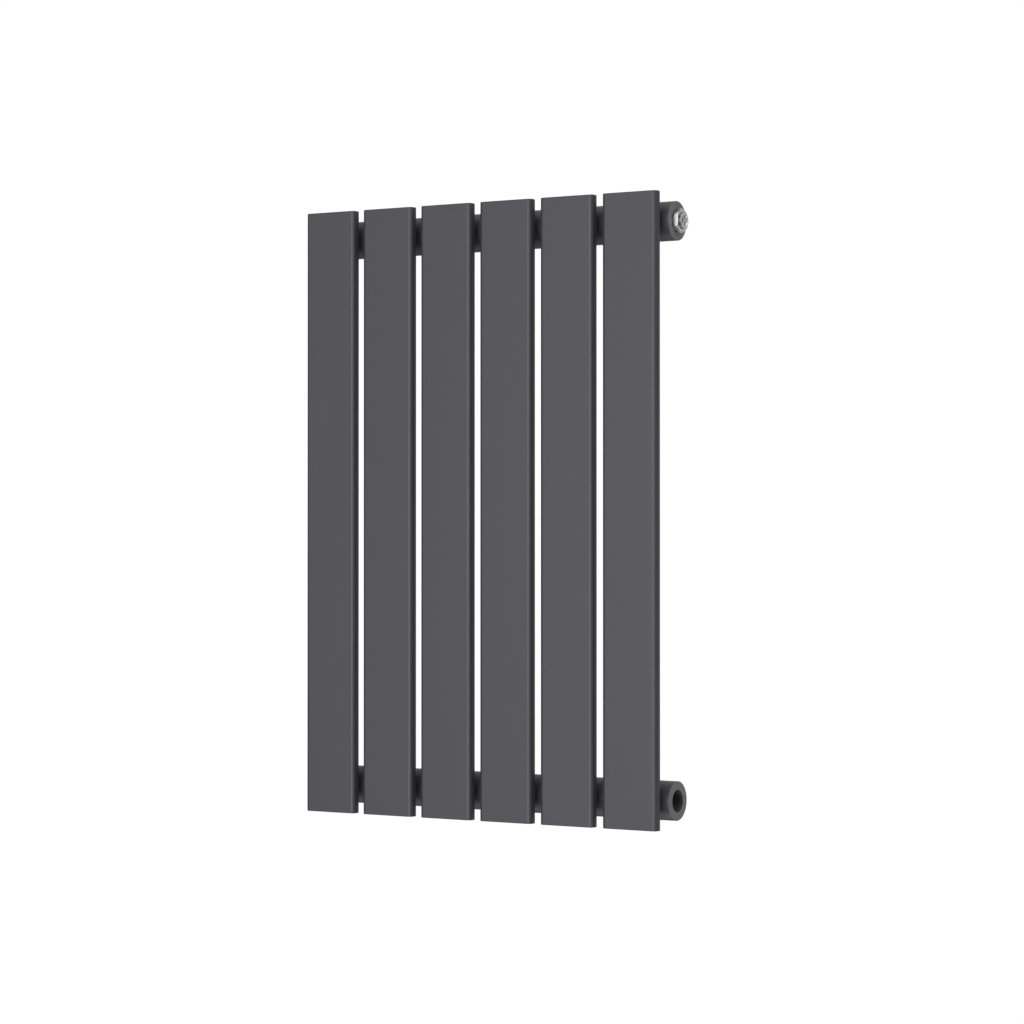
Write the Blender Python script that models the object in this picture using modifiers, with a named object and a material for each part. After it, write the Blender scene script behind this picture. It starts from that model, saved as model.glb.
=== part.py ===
"""Flat-panel radiator: six upright hollow slats on two round header tubes.

X runs along the wall, -Y faces the room and +Z is up. The wall side of the four
hanging lugs is the plane Y = 0, and the origin is the middle of those four faces.
Each header end has a threaded boss. The top right one holds an air vent, the top
left one a blanking plug, and the two bottom ones stay open for the valves.
"""

import math

import bmesh
import bpy
from mathutils import Matrix, Vector

MM = 0.001
GAP = 0.3 * MM  # left between pieces that are welded or screwed together

# Slats
SLAT_COUNT = 6
SLAT_PITCH = 68 * MM
SLAT_WIDTH = 58.4 * MM
SLAT_DEPTH = 11 * MM
SLAT_HEIGHT = 600 * MM
SLAT_WALL = 1.5 * MM
SLAT_CORNER = 4 * MM
CAP_THICKNESS = 2 * MM
CAP_EDGE = 0.8 * MM
TUBE_HEIGHT = SLAT_HEIGHT - 2 * (CAP_THICKNESS + GAP)
SLAT_XS = [(i - (SLAT_COUNT - 1) / 2) * SLAT_PITCH for i in range(SLAT_COUNT)]

# Headers
HEADER_RADIUS = 18.7 * MM
HEADER_WALL = 2 * MM
HEADER_LENGTH = 376 * MM
HEADER_Y = -30.5 * MM
HEADER_Z = 273.8 * MM
HEADER_TO_SLAT = 4.5 * MM
SLAT_BACK_Y = HEADER_Y - HEADER_RADIUS - HEADER_TO_SLAT
SLAT_Y = SLAT_BACK_Y - SLAT_DEPTH / 2

# Nipples, which carry the water from a header into the back of a slat
NIPPLE_RADIUS = 10 * MM
NIPPLE_SPIGOT_RADIUS = 7.5 * MM
NIPPLE_BORE_RADIUS = 6 * MM
NIPPLE_REACH = 15 * MM  # from the header's axis to the spigot's end inside the header
PORT_RADIUS = NIPPLE_SPIGOT_RADIUS + GAP

# Bosses with a G 1/2 socket, one on each header end
BOSS_FACE_X = 204 * MM
BOSS_LENGTH = BOSS_FACE_X - HEADER_LENGTH / 2 - GAP
BOSS_SPIGOT_LENGTH = 4.3 * MM
BOSS_SPIGOT_RADIUS = HEADER_RADIUS - HEADER_WALL - GAP
BOSS_RIM = 0.5 * MM
SOCKET_RADIUS = 9.3 * MM
SOCKET_MOUTH_RADIUS = 10.8 * MM
SOCKET_MOUTH_DEPTH = 1.5 * MM

# Hanging lugs, U-shaped straps behind the headers
LUG_X = 102 * MM
LUG_WIDTH = 30 * MM
LUG_HEIGHT = 30 * MM
LUG_THICKNESS = 3 * MM
LUG_BEND = 3 * MM
SLOT_RADIUS = 4.25 * MM
SLOT_TOP = 5 * MM  # above the header's axis

# Vent and plug: heights along the socket's axis are counted outwards from the boss face
HEX_ACROSS_FLATS = 21 * MM
HEX_BACK = 1.8 * MM
HEX_FRONT = 5.8 * MM
HEX_CHAMFER = 1 * MM
HEX_FACE_RADIUS = 10.6 * MM
SHANK_RADIUS = 9 * MM
SHANK_END = -9 * MM
SHANK_LEAD = 0.5 * MM
HEAD_ROOT = 3 * MM  # how far the shoulder runs up inside the hexagon
SHOULDER_RADIUS = 10.3 * MM
SEAL_GROOVE = (8.3 * MM, -1.4 * MM)  # radius and bottom. Its top is the shoulder
FITTING_SEAL = (9.05 * MM, 0.5 * MM, -0.65 * MM)  # ring radius, section radius, height

NOSE_RADIUS = 5 * MM
NOSE_END = 7 * MM
KEY_WELL_RADIUS = 3.9 * MM
KEY_WELL_FLOOR = 5 * MM
SCREW_BORE_RADIUS = 3.3 * MM
SEAT_TOP = -5 * MM
SEAT_BOTTOM = -6.5 * MM
SEAT_RADIUS = 1.3 * MM
AIR_WAY_RADIUS = 0.6 * MM
AIR_WAY_START = (2.8 * MM, -1 * MM)  # radius and height where it leaves the screw's bore
AIR_WAY_END = (6.6 * MM, 6.2 * MM)  # and where it opens under the outlet disc

DISC_RADIUS = 8 * MM
DISC_BORE_RADIUS = NOSE_RADIUS + GAP
DISC_BACK = 6.1 * MM
DISC_FRONT = 7.8 * MM
DISC_CHAMFER = 0.4 * MM
DISC_CHANNEL = (6 * MM, 7.2 * MM, 0.8 * MM)  # inner radius, outer radius, depth
DISC_NOTCHES = 12
DISC_NOTCH_RADIUS = 0.8 * MM
OUTLET_RADIUS = 0.55 * MM

SCREW_RADIUS = 3 * MM
SCREW_TIP = (1.2 * MM, -6.3 * MM)
SCREW_CONE_TOP = -4.95 * MM
SCREW_GROOVE = (2 * MM, 2.6 * MM, 3.9 * MM)  # radius, bottom, top
SCREW_SHOULDER = 5 * MM
KEY_ACROSS_FLATS = 5 * MM
KEY_CORNER = 0.4 * MM
KEY_CHAMFER = 0.25 * MM
KEY_END = 7.5 * MM
KEY_SLOT_WIDTH = 1 * MM
KEY_SLOT_DEPTH = 0.9 * MM
SCREW_SEAL = (2.65 * MM, 0.42 * MM, 3.25 * MM)

PLUG_HOLLOW_RADIUS = 6.5 * MM
PLUG_DISH_RADIUS = 6 * MM
PLUG_DISH_DEPTH = 0.6 * MM

# How finely round shapes are faceted
HEADER_STEPS = 32
FITTING_STEPS = 24
PORT_STEPS = 12
DRILL_STEPS = 8
SCREW_STEPS = 16
SEAL_STEPS = 24
SEAL_SECTION_STEPS = 6
CORNER_SEGMENTS = 3
MERGE = 0.001 * MM
SMOOTH_BELOW = math.radians(35)
PASS = 5 * MM  # how far a cutter runs past what it cuts

ALONG_X = Matrix.Rotation(math.pi / 2, 4, "Y")


def clear_scene():
    for obj in list(bpy.data.objects):
        bpy.data.objects.remove(obj, do_unlink=True)


def new_collection(name):
    collection = bpy.data.collections.new(name)
    bpy.context.scene.collection.children.link(collection)
    return collection


def new_material(name, colour, roughness, metallic):
    material = bpy.data.materials.new(name)
    material.use_nodes = True
    shader = material.node_tree.nodes["Principled BSDF"]
    shader.inputs["Base Color"].default_value = (*colour, 1)
    shader.inputs["Roughness"].default_value = roughness
    shader.inputs["Metallic"].default_value = metallic
    material.diffuse_color = (*colour, 1)
    return material


def on_bench(name, mesh, matrix=Matrix()):
    """A working object. The bench holds the blanks and their cutters, and no finished part."""
    obj = bpy.data.objects.new(name, mesh)
    obj.matrix_world = matrix
    obj.hide_render = True
    obj.display_type = "WIRE"
    cutters.objects.link(obj)
    return obj


def from_bmesh(name, bm, matrix=Matrix()):
    mesh = bpy.data.meshes.new(name)
    bm.to_mesh(mesh)
    bm.free()
    return on_bench(name, mesh, matrix)


def bar(name, width, depth, height, corner=0.0, end_edge=0.0, centre=(0, 0, 0)):
    """A block with its four upright edges rounded by corner and its top edges chamfered by end_edge."""
    bm = bmesh.new()
    bmesh.ops.create_cube(bm, size=1, matrix=Matrix.Diagonal((width, depth, height, 1)))
    if corner:
        upright = [e for e in bm.edges if e.verts[0].co.xy == e.verts[1].co.xy]
        bmesh.ops.bevel(bm, geom=upright, offset=corner, segments=CORNER_SEGMENTS,
                        profile=0.5, affect="EDGES")
    if end_edge:
        top = [e for e in bm.edges if min(v.co.z for v in e.verts) > height / 2 - MERGE]
        bmesh.ops.bevel(bm, geom=top, offset=end_edge, segments=1, profile=0.5, affect="EDGES")
    return from_bmesh(name, bm, Matrix.Translation(centre))


def rod(name, radius, length, steps, matrix=Matrix()):
    """A round bar along local Z, centred on its own middle. Six steps give a hexagon."""
    bm = bmesh.new()
    bmesh.ops.create_cone(bm, cap_ends=True, segments=steps, radius1=radius, radius2=radius,
                          depth=length)
    return from_bmesh(name, bm, matrix)


def drill(name, radius, start, end, steps):
    """A round cutter from one point to another."""
    run = Vector(end) - Vector(start)
    turn = run.to_track_quat("Z", "Y").to_matrix().to_4x4()
    middle = Matrix.Translation((Vector(start) + Vector(end)) / 2)
    return rod(name, radius, run.length, steps, middle @ turn)


def turned(name, profile, steps, matrix=Matrix()):
    """A (radius, height) outline turned about local Z, listed from its top down its outer side.

    An outline that starts on the axis is open. Any other one closes on itself, as a ring does.
    """
    mesh = bpy.data.meshes.new(name)
    count = len(profile)
    edges = [(i, i + 1) for i in range(count - 1)]
    if profile[0][0] > 0:
        edges.append((count - 1, 0))
    mesh.from_pydata([(radius, 0, height) for radius, height in profile], edges, [])
    obj = on_bench(name, mesh, matrix)
    screw = obj.modifiers.new("turn", "SCREW")
    screw.steps = screw.render_steps = steps
    screw.use_merge_vertices = True
    screw.merge_threshold = MERGE
    return obj


def ring(name, ring_radius, section_radius, height):
    """An O-ring lying across local Z."""
    turns = [-2 * math.pi * i / SEAL_SECTION_STEPS for i in range(SEAL_SECTION_STEPS)]
    profile = [
        (ring_radius + section_radius * math.cos(a), height + section_radius * math.sin(a))
        for a in turns
    ]
    return turned(name, profile, SEAL_STEPS)


def combine(blank, operation, *tools):
    for tool in tools:
        modifier = blank.modifiers.new(tool.name, "BOOLEAN")
        modifier.operation = operation
        modifier.object = tool
    return blank


def finished(blank, material):
    """The blank's mesh with its cuts made. The bench is cleared after it."""
    bpy.context.view_layer.update()
    depsgraph = bpy.context.evaluated_depsgraph_get()
    mesh = bpy.data.meshes.new_from_object(blank.evaluated_get(depsgraph))
    mesh.name = blank.name
    mesh.transform(blank.matrix_world)
    bm = bmesh.new()
    bm.from_mesh(mesh)
    bmesh.ops.remove_doubles(bm, verts=bm.verts, dist=MERGE)
    bm.to_mesh(mesh)
    bm.free()
    mesh.shade_smooth()
    mesh.set_sharp_from_angle(angle=SMOOTH_BELOW)
    mesh.materials.clear()
    mesh.materials.append(material)
    for obj in list(cutters.objects):
        bpy.data.objects.remove(obj, do_unlink=True)
    return mesh


def add_part(name, mesh, location=(0, 0, 0), rotation=(0, 0, 0), parent=None):
    obj = bpy.data.objects.new(name, mesh)
    obj.location = location
    obj.rotation_euler = rotation
    obj.parent = parent or frame
    radiator.objects.link(obj)
    return obj


def add_empty(name, location=(0, 0, 0), rotation=(0, 0, 0), parent=None):
    empty = bpy.data.objects.new(name, None)
    empty.empty_display_size = 20 * MM
    empty.location = location
    empty.rotation_euler = rotation
    empty.parent = parent
    radiator.objects.link(empty)
    return empty


def slat_tube_mesh():
    """A flat tube, open at both ends, with a port at the level of each header in its back wall."""
    tube = bar("slat_tube", SLAT_WIDTH, SLAT_DEPTH, TUBE_HEIGHT, SLAT_CORNER)
    hollow = bar("hollow", SLAT_WIDTH - 2 * SLAT_WALL, SLAT_DEPTH - 2 * SLAT_WALL,
                 TUBE_HEIGHT + PASS, SLAT_CORNER - SLAT_WALL)
    ports = [
        drill("port", PORT_RADIUS, (0, 0, z), (0, SLAT_DEPTH, z), PORT_STEPS)
        for z in (-HEADER_Z, HEADER_Z)
    ]
    return finished(combine(tube, "DIFFERENCE", hollow, *ports), paint)


def slat_cap_mesh():
    """The plate that closes a slat's end, its outer edge rounded. Its inner face is at Z = 0."""
    cap = bar("slat_cap", SLAT_WIDTH, SLAT_DEPTH, CAP_THICKNESS, SLAT_CORNER, CAP_EDGE,
              (0, 0, CAP_THICKNESS / 2))
    return finished(cap, paint)


def header_envelope(name, y=0.0):
    """What a piece welded to the header is coped with."""
    place = Matrix.Translation((0, y, 0)) @ ALONG_X
    return rod(name, HEADER_RADIUS + GAP, HEADER_LENGTH, HEADER_STEPS, place)


def nipple_mesh():
    """A collar coped to the header, with a spigot into each wall. Local Y = 0 is the header's axis."""
    collar_end = SLAT_BACK_Y - HEADER_Y + GAP
    spigot_end = SLAT_BACK_Y - HEADER_Y - SLAT_WALL
    collar = drill("nipple", NIPPLE_RADIUS, (0, -NIPPLE_REACH, 0), (0, collar_end, 0), PORT_STEPS)
    spigot = drill("spigot", NIPPLE_SPIGOT_RADIUS, (0, -NIPPLE_REACH, 0), (0, spigot_end, 0),
                   PORT_STEPS)
    bore = drill("bore", NIPPLE_BORE_RADIUS, (0, 0, 0), (0, spigot_end - PASS, 0), PORT_STEPS)
    combine(collar, "DIFFERENCE", header_envelope("cope"))
    combine(collar, "UNION", spigot)
    return finished(combine(collar, "DIFFERENCE", bore), paint)


def header_mesh():
    """A tube along X with a port in its front for each slat."""
    half = HEADER_LENGTH / 2
    inner = HEADER_RADIUS - HEADER_WALL
    profile = [(HEADER_RADIUS, half), (HEADER_RADIUS, -half), (inner, -half), (inner, half)]
    tube = turned("header_tube", profile, HEADER_STEPS, ALONG_X)
    ports = [
        drill("port", PORT_RADIUS, (x, 0, 0), (x, -HEADER_RADIUS - PASS, 0), PORT_STEPS)
        for x in SLAT_XS
    ]
    return finished(combine(tube, "DIFFERENCE", *ports), paint)


def boss_mesh():
    """A socket along local Z whose spigot sits in the header. Its face is at Z = 0."""
    profile = [
        (HEADER_RADIUS - BOSS_RIM, 0),
        (HEADER_RADIUS, -BOSS_RIM),
        (HEADER_RADIUS, -BOSS_LENGTH),
        (BOSS_SPIGOT_RADIUS, -BOSS_LENGTH),
        (BOSS_SPIGOT_RADIUS, -BOSS_LENGTH - BOSS_SPIGOT_LENGTH),
        (SOCKET_RADIUS, -BOSS_LENGTH - BOSS_SPIGOT_LENGTH),
        (SOCKET_RADIUS, -SOCKET_MOUTH_DEPTH),
        (SOCKET_MOUTH_RADIUS, 0),
    ]
    return finished(turned("boss", profile, HEADER_STEPS), paint)


def lug_mesh():
    """A bent strap coped to the header, with a slot open at the bottom that drops over a bracket's pin.

    Local Y = 0 is its wall side and local Z = 0 the level of the header's axis.
    """
    depth = -2 * HEADER_Y
    strap = bar("lug", LUG_WIDTH, depth, LUG_HEIGHT, LUG_BEND, 0, (0, -depth / 2, 0))
    inside = bar("inside", LUG_WIDTH - 2 * LUG_THICKNESS, depth, LUG_HEIGHT + PASS, 0, 0,
                 (0, -depth / 2 - LUG_THICKNESS, 0))
    ahead = bar("ahead", LUG_WIDTH + PASS, depth, LUG_HEIGHT + PASS, 0, 0,
                (0, HEADER_Y - depth / 2, 0))
    slot_round_z = SLOT_TOP - SLOT_RADIUS
    slot_foot_z = -LUG_HEIGHT / 2 - PASS
    slot = bar("slot", 2 * SLOT_RADIUS, 2 * PASS, slot_round_z - slot_foot_z, 0, 0,
               (0, 0, (slot_round_z + slot_foot_z) / 2))
    slot_end = drill("slot_end", SLOT_RADIUS, (0, -PASS, slot_round_z), (0, PASS, slot_round_z),
                     PORT_STEPS)
    combine(slot, "UNION", slot_end)
    cope = header_envelope("cope", HEADER_Y)
    return finished(combine(strap, "DIFFERENCE", inside, ahead, cope, slot), paint)


def hex_head(name, face_profile):
    """A hexagon, corners up and down once it is on the radiator, under a turned face."""
    prism = rod(name, HEX_ACROSS_FLATS / math.sqrt(3), 4 * HEX_FRONT, 6,
                Matrix.Rotation(math.pi / 2, 4, "Z"))
    rim = HEX_FACE_RADIUS + 2 * HEX_CHAMFER
    side = [(rim, HEX_FRONT - HEX_CHAMFER), (rim, HEX_BACK), (0, HEX_BACK)]
    return combine(prism, "INTERSECT", turned("face", face_profile + side, FITTING_STEPS))


def shoulder_and_groove():
    """The profile of a fitting's shoulder and of the seal's groove under it, down to the shank."""
    groove_radius, groove_bottom = SEAL_GROOVE
    return [
        (SHOULDER_RADIUS, HEAD_ROOT),
        (SHOULDER_RADIUS, GAP),
        (groove_radius, GAP),
        (groove_radius, groove_bottom),
        (SHANK_RADIUS, groove_bottom),
    ]


def vent_body_mesh():
    """Shank, hexagon and nose, bored for the bleed screw, with a slanted air way to the disc."""
    core = turned("vent_body", [
        (NOSE_RADIUS, NOSE_END),
        (NOSE_RADIUS, HEAD_ROOT),
        *shoulder_and_groove(),
        (SHANK_RADIUS, SHANK_END + SHANK_LEAD),
        (SHANK_RADIUS - SHANK_LEAD, SHANK_END),
        (SEAT_RADIUS, SHANK_END),
        (SEAT_RADIUS, SEAT_BOTTOM),
        (SCREW_BORE_RADIUS, SEAT_TOP),
        (SCREW_BORE_RADIUS, KEY_WELL_FLOOR),
        (KEY_WELL_RADIUS, KEY_WELL_FLOOR),
        (KEY_WELL_RADIUS, NOSE_END),
    ], FITTING_STEPS)
    head = hex_head("head", [(0, HEX_FRONT), (HEX_FACE_RADIUS, HEX_FRONT)])
    clearance = rod("clearance", (KEY_WELL_RADIUS + NOSE_RADIUS) / 2, 4 * HEX_FRONT, FITTING_STEPS)
    combine(head, "DIFFERENCE", clearance)
    start, end = ((radius, 0, height) for radius, height in (AIR_WAY_START, AIR_WAY_END))
    air_way = drill("air_way", AIR_WAY_RADIUS, start, end, DRILL_STEPS)
    combine(core, "UNION", head)
    return finished(combine(core, "DIFFERENCE", air_way), chrome)


def outlet_disc_mesh():
    """The swivelling ring around the nose: a notched rim, a channel behind and an outlet hole."""
    channel_inner, channel_outer, channel_depth = DISC_CHANNEL
    channel_floor = DISC_BACK + channel_depth
    disc = turned("outlet_disc", [
        (DISC_RADIUS - DISC_CHAMFER, DISC_FRONT),
        (DISC_RADIUS, DISC_FRONT - DISC_CHAMFER),
        (DISC_RADIUS, DISC_BACK),
        (channel_outer, DISC_BACK),
        (channel_outer, channel_floor),
        (channel_inner, channel_floor),
        (channel_inner, DISC_BACK),
        (DISC_BORE_RADIUS, DISC_BACK),
        (DISC_BORE_RADIUS, DISC_FRONT - DISC_CHAMFER),
        (DISC_BORE_RADIUS + DISC_CHAMFER, DISC_FRONT),
    ], FITTING_STEPS)
    bm = bmesh.new()
    rim = DISC_RADIUS + DISC_NOTCH_RADIUS / 2
    for i in range(DISC_NOTCHES):
        turn = 2 * math.pi * (i + 0.5) / DISC_NOTCHES
        place = Matrix.Translation((rim * math.cos(turn), rim * math.sin(turn), DISC_FRONT))
        bmesh.ops.create_cone(bm, cap_ends=True, segments=DRILL_STEPS, radius1=DISC_NOTCH_RADIUS,
                              radius2=DISC_NOTCH_RADIUS, depth=PASS, matrix=place)
    notches = from_bmesh("notches", bm)
    height = DISC_BACK + channel_depth / 2
    outlet = drill("outlet", OUTLET_RADIUS, ((channel_inner + channel_outer) / 2, 0, height),
                   (DISC_RADIUS + PASS, 0, height), DRILL_STEPS)
    return finished(combine(disc, "DIFFERENCE", notches, outlet), chrome)


def bleed_screw_mesh():
    """A screw with a cone tip, a seal groove and a square end with a slot for the key."""
    tip_radius, tip_end = SCREW_TIP
    groove_radius, groove_bottom, groove_top = SCREW_GROOVE
    screw = turned("bleed_screw", [
        (0, SCREW_SHOULDER),
        (SCREW_RADIUS, SCREW_SHOULDER),
        (SCREW_RADIUS, groove_top),
        (groove_radius, groove_top),
        (groove_radius, groove_bottom),
        (SCREW_RADIUS, groove_bottom),
        (SCREW_RADIUS, SCREW_CONE_TOP),
        (tip_radius, tip_end),
        (0, tip_end),
    ], SCREW_STEPS)
    key_foot = SCREW_SHOULDER + GAP / 2  # just clear of the well's floor
    key_root = groove_top + GAP
    key = bar("key", KEY_ACROSS_FLATS, KEY_ACROSS_FLATS, KEY_END - key_foot, KEY_CORNER,
              KEY_CHAMFER, (0, 0, (KEY_END + key_foot) / 2))
    neck = drill("neck", groove_radius, (0, 0, key_root), (0, 0, key_foot + GAP), DRILL_STEPS)
    slot = bar("key_slot", KEY_ACROSS_FLATS + PASS, KEY_SLOT_WIDTH, 2 * KEY_SLOT_DEPTH, 0, 0,
               (0, 0, KEY_END))
    combine(screw, "UNION", neck, key)
    return finished(combine(screw, "DIFFERENCE", slot), brass)


def blanking_plug_mesh():
    """A hollow shank under a hexagon with a shallow round dish in its face."""
    core = turned("blanking_plug", [
        (0, HEAD_ROOT),
        *shoulder_and_groove(),
        (SHANK_RADIUS, SHANK_END + SHANK_LEAD),
        (SHANK_RADIUS - SHANK_LEAD, SHANK_END),
        (PLUG_HOLLOW_RADIUS, SHANK_END),
        (PLUG_HOLLOW_RADIUS, 0),
        (0, 0),
    ], FITTING_STEPS)
    head = hex_head("head", [
        (0, HEX_FRONT - PLUG_DISH_DEPTH),
        (PLUG_DISH_RADIUS - PLUG_DISH_DEPTH, HEX_FRONT - PLUG_DISH_DEPTH),
        (PLUG_DISH_RADIUS, HEX_FRONT),
        (HEX_FACE_RADIUS, HEX_FRONT),
    ])
    return finished(combine(core, "UNION", head), chrome)


def add_slats():
    tube, cap, nipple = slat_tube_mesh(), slat_cap_mesh(), nipple_mesh()
    cap_z = TUBE_HEIGHT / 2 + GAP
    for number, x in enumerate(SLAT_XS, 1):
        slat = f"slat_{number}"
        add_part(f"{slat}_tube", tube, (x, SLAT_Y, 0))
        add_part(f"{slat}_top_cap", cap, (x, SLAT_Y, cap_z))
        add_part(f"{slat}_bottom_cap", cap, (x, SLAT_Y, -cap_z), (math.pi, 0, 0))
        add_part(f"{slat}_top_nipple", nipple, (x, HEADER_Y, HEADER_Z))
        add_part(f"{slat}_bottom_nipple", nipple, (x, HEADER_Y, -HEADER_Z))


def add_headers():
    """The two headers with their bosses and lugs. Returns the empties on the two top sockets."""
    header, boss, lug = header_mesh(), boss_mesh(), lug_mesh()
    sockets = {}
    for level, z in (("top", HEADER_Z), ("bottom", -HEADER_Z)):
        add_part(f"{level}_header_tube", header, (0, HEADER_Y, z))
        for side, sign in (("left", -1), ("right", 1)):
            add_part(f"{level}_{side}_hanging_lug", lug, (sign * LUG_X, 0, z))
            socket = add_empty(f"{level}_{side}_socket", (sign * BOSS_FACE_X, HEADER_Y, z),
                               (0, sign * math.pi / 2, 0), frame)
            add_part(f"{level}_{side}_boss", boss, parent=socket)
            sockets[level, side] = socket
    return sockets["top", "left"], sockets["top", "right"]


def add_fittings(left_socket, right_socket):
    seal = finished(ring("fitting_seal", *FITTING_SEAL), rubber)
    add_part("blanking_plug", blanking_plug_mesh(), parent=left_socket)
    add_part("blanking_plug_o_ring", seal, parent=left_socket)
    add_part("vent_body", vent_body_mesh(), parent=right_socket)
    add_part("vent_body_o_ring", seal, parent=right_socket)
    add_part("vent_outlet_disc", outlet_disc_mesh(), parent=right_socket)
    add_part("bleed_screw", bleed_screw_mesh(), parent=right_socket)
    screw_seal = finished(ring("screw_seal", *SCREW_SEAL), rubber)
    add_part("bleed_screw_o_ring", screw_seal, parent=right_socket)


clear_scene()
radiator = new_collection("radiator")
cutters = new_collection("cutters")
paint = new_material("anthracite_powder_coat", (0.085, 0.084, 0.092), 0.42, 0.0)
chrome = new_material("chrome_plate", (0.78, 0.78, 0.79), 0.12, 1.0)
brass = new_material("nickelled_brass", (0.72, 0.68, 0.58), 0.22, 1.0)
rubber = new_material("seal_rubber", (0.015, 0.015, 0.016), 0.75, 0.0)
frame = add_empty("radiator_frame")
add_slats()
add_fittings(*add_headers())
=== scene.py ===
"""The looks of a flat-panel radiator: painted slats, headers and lugs, chrome fittings, seals.

X runs along the wall, -Y faces the room and +Z is up, as in the CAD frame. Each piece
stands for one CAD node and is built around it from the node's own box.
"""

import math

import bmesh
import bpy
from mathutils import Matrix, Vector


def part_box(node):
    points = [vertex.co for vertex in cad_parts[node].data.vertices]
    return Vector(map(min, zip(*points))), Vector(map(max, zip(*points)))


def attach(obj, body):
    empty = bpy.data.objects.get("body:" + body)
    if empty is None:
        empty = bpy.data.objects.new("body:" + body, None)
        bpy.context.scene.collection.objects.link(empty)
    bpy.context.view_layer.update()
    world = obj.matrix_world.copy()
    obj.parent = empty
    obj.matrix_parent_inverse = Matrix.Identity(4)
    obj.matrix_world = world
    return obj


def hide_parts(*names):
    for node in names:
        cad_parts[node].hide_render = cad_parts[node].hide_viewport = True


MM = 0.001
TURN = 2 * math.pi
TINY = 0.001 * MM
FINE_EDGE = 0.1 * MM  # the two common roundings of a turned corner
SOFT_EDGE = 0.3 * MM

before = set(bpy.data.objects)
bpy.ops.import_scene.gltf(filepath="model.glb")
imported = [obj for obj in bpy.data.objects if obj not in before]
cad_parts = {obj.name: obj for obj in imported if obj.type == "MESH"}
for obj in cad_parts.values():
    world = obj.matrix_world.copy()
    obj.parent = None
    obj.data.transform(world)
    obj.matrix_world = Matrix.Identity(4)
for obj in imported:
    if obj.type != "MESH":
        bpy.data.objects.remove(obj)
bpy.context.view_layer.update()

# Slats
SLAT_COUNT = 6
SLAT_CORNER = 4 * MM
CORNER_STEPS = 8
CAP_EDGE = 0.8 * MM
SEAM_DIP = 0.05 * MM  # how far the ground-down weld between tube and cap lies under the face
SEAM_HALF_WIDTH = 0.6 * MM

# Headers, bosses and nipples
HEADER_WALL = 2 * MM
HEADER_STEPS = 128
BOSS_RIM = 0.5 * MM
BOSS_SPIGOT_LENGTH = 4.3 * MM
BOSS_SPIGOT_RADIUS = 16.2 * MM
SOCKET_RADIUS = 9.3 * MM
SOCKET_MOUTH_RADIUS = 10.8 * MM
SOCKET_MOUTH_DEPTH = 1.5 * MM
THREAD_MAJOR_RADIUS = 10.48 * MM
THREAD_PITCH = 1.814 * MM
THREAD_DEPTH = 13 * MM
THREAD_RUNOUT = 2 * MM
THREAD_STEP = 0.15 * MM
NIPPLE_RADIUS = 10 * MM
NIPPLE_STEPS = 240
BEAD_RADIUS = 1.3 * MM
BEAD_RIPPLE = 1.7 * MM  # from one ripple of a weld to the next
BEAD_SIDES = 12
NIPPLE_SINK = 0.3 * MM  # how far a collar's foot goes into the header
BEAD_OFFSET = 0.4 * MM
BEAD_LIFT = 0.3 * MM
BOSS_WELD_DROP = 0.15 * MM  # from the boss's seat to the middle of its weld
BOSS_WELD = ((-1.2, -0.1), (-0.8, 0.04), (0, 0.1), (0.8, 0.04), (1.2, -0.1), (0, -0.3))  # mm
BOSS_WELD_RIPPLE = 0.04 * MM

# Hanging lugs
LUG_WIDTH = 30 * MM
LUG_HEIGHT = 30 * MM
LUG_THICKNESS = 3 * MM
LUG_BEND = 3.6 * MM  # outside
SLOT_RADIUS = 4.25 * MM
SLOT_TOP = 5 * MM
LUG_EDGE = 0.45 * MM
LUG_OVERLAP = 0.2 * MM  # how far a leg's end goes into the header
LUG_BEAD_OFFSET = 0.35 * MM

# Vent and plug: heights are counted outwards from the boss face
HEX_ACROSS_FLATS = 21 * MM
HEX_BACK = 1.8 * MM
HEX_FRONT = 5.8 * MM
HEX_FACE_RADIUS = 10.6 * MM
HEX_CHAMFER_SLOPE = 2.0
HEX_FRONT_CHAMFER_INSET = 0.1 * MM
HEX_BACK_CHAMFER_OUTSET = 0.7 * MM
HEX_FACE_ROUND = 0.25 * MM
HEX_CORNER_SHARE = 0.988  # what turning leaves of the distance to a corner
HEX_FACE_MARGIN = 0.4 * MM
HEX_STEPS = 144
SHANK_RADIUS = 9 * MM
SHANK_END = -9 * MM
SHOULDER_RADIUS = 10.3 * MM
SHOULDER_BACK = 0.05 * MM
SEAL_GROOVE_RADIUS = 8.3 * MM
SEAL_GROOVE_BOTTOM = -1.4 * MM
NOSE_RADIUS = 5 * MM
NOSE_END = 7 * MM
KEY_WELL_RADIUS = 3.9 * MM
KEY_WELL_FLOOR = 5 * MM
SCREW_BORE_RADIUS = 3.3 * MM
DISC_RADIUS = 8 * MM
DISC_BORE_RADIUS = 5.3 * MM
DISC_BACK = 6.1 * MM
DISC_FRONT = 7.8 * MM
DISC_NOTCHES = 12
DISC_NOTCH_RADIUS = 0.8 * MM
DISC_STEPS = 288
DISC_CROWN_RADIUS = 6.3 * MM
DISC_SHOULDER_RADIUS = 7.1 * MM
DISC_SHOULDER_DROP = 0.05 * MM
DISC_RIM_DROP = 0.4 * MM
DISC_BORE_DROP = 0.35 * MM
DISC_NOTCH_REACH = 6.9 * MM
DISC_NOTCH_FLOOR = 7.55 * MM
DISC_SHADED_RIM_RADIUS = 6.5 * MM  # outside it and behind the crown the plate is darkened, as painted shade and a painted dark reflection on the rim
OUTLET_HEIGHT = DISC_BACK + 0.75 * MM
OUTLET_RADIUS = 0.55 * MM
OUTLET_DEPTH = 1.4 * MM
OUTLET_EDGE = 0.12 * MM
SCREW_RADIUS = 3 * MM
SCREW_GROOVE_RADIUS = 2 * MM
SCREW_GROOVE_FRONT = 3.9 * MM
SCREW_GROOVE_BACK = 2.6 * MM
SCREW_CONE_FOOT = -4.95 * MM
SCREW_TIP = -6.3 * MM
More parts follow.
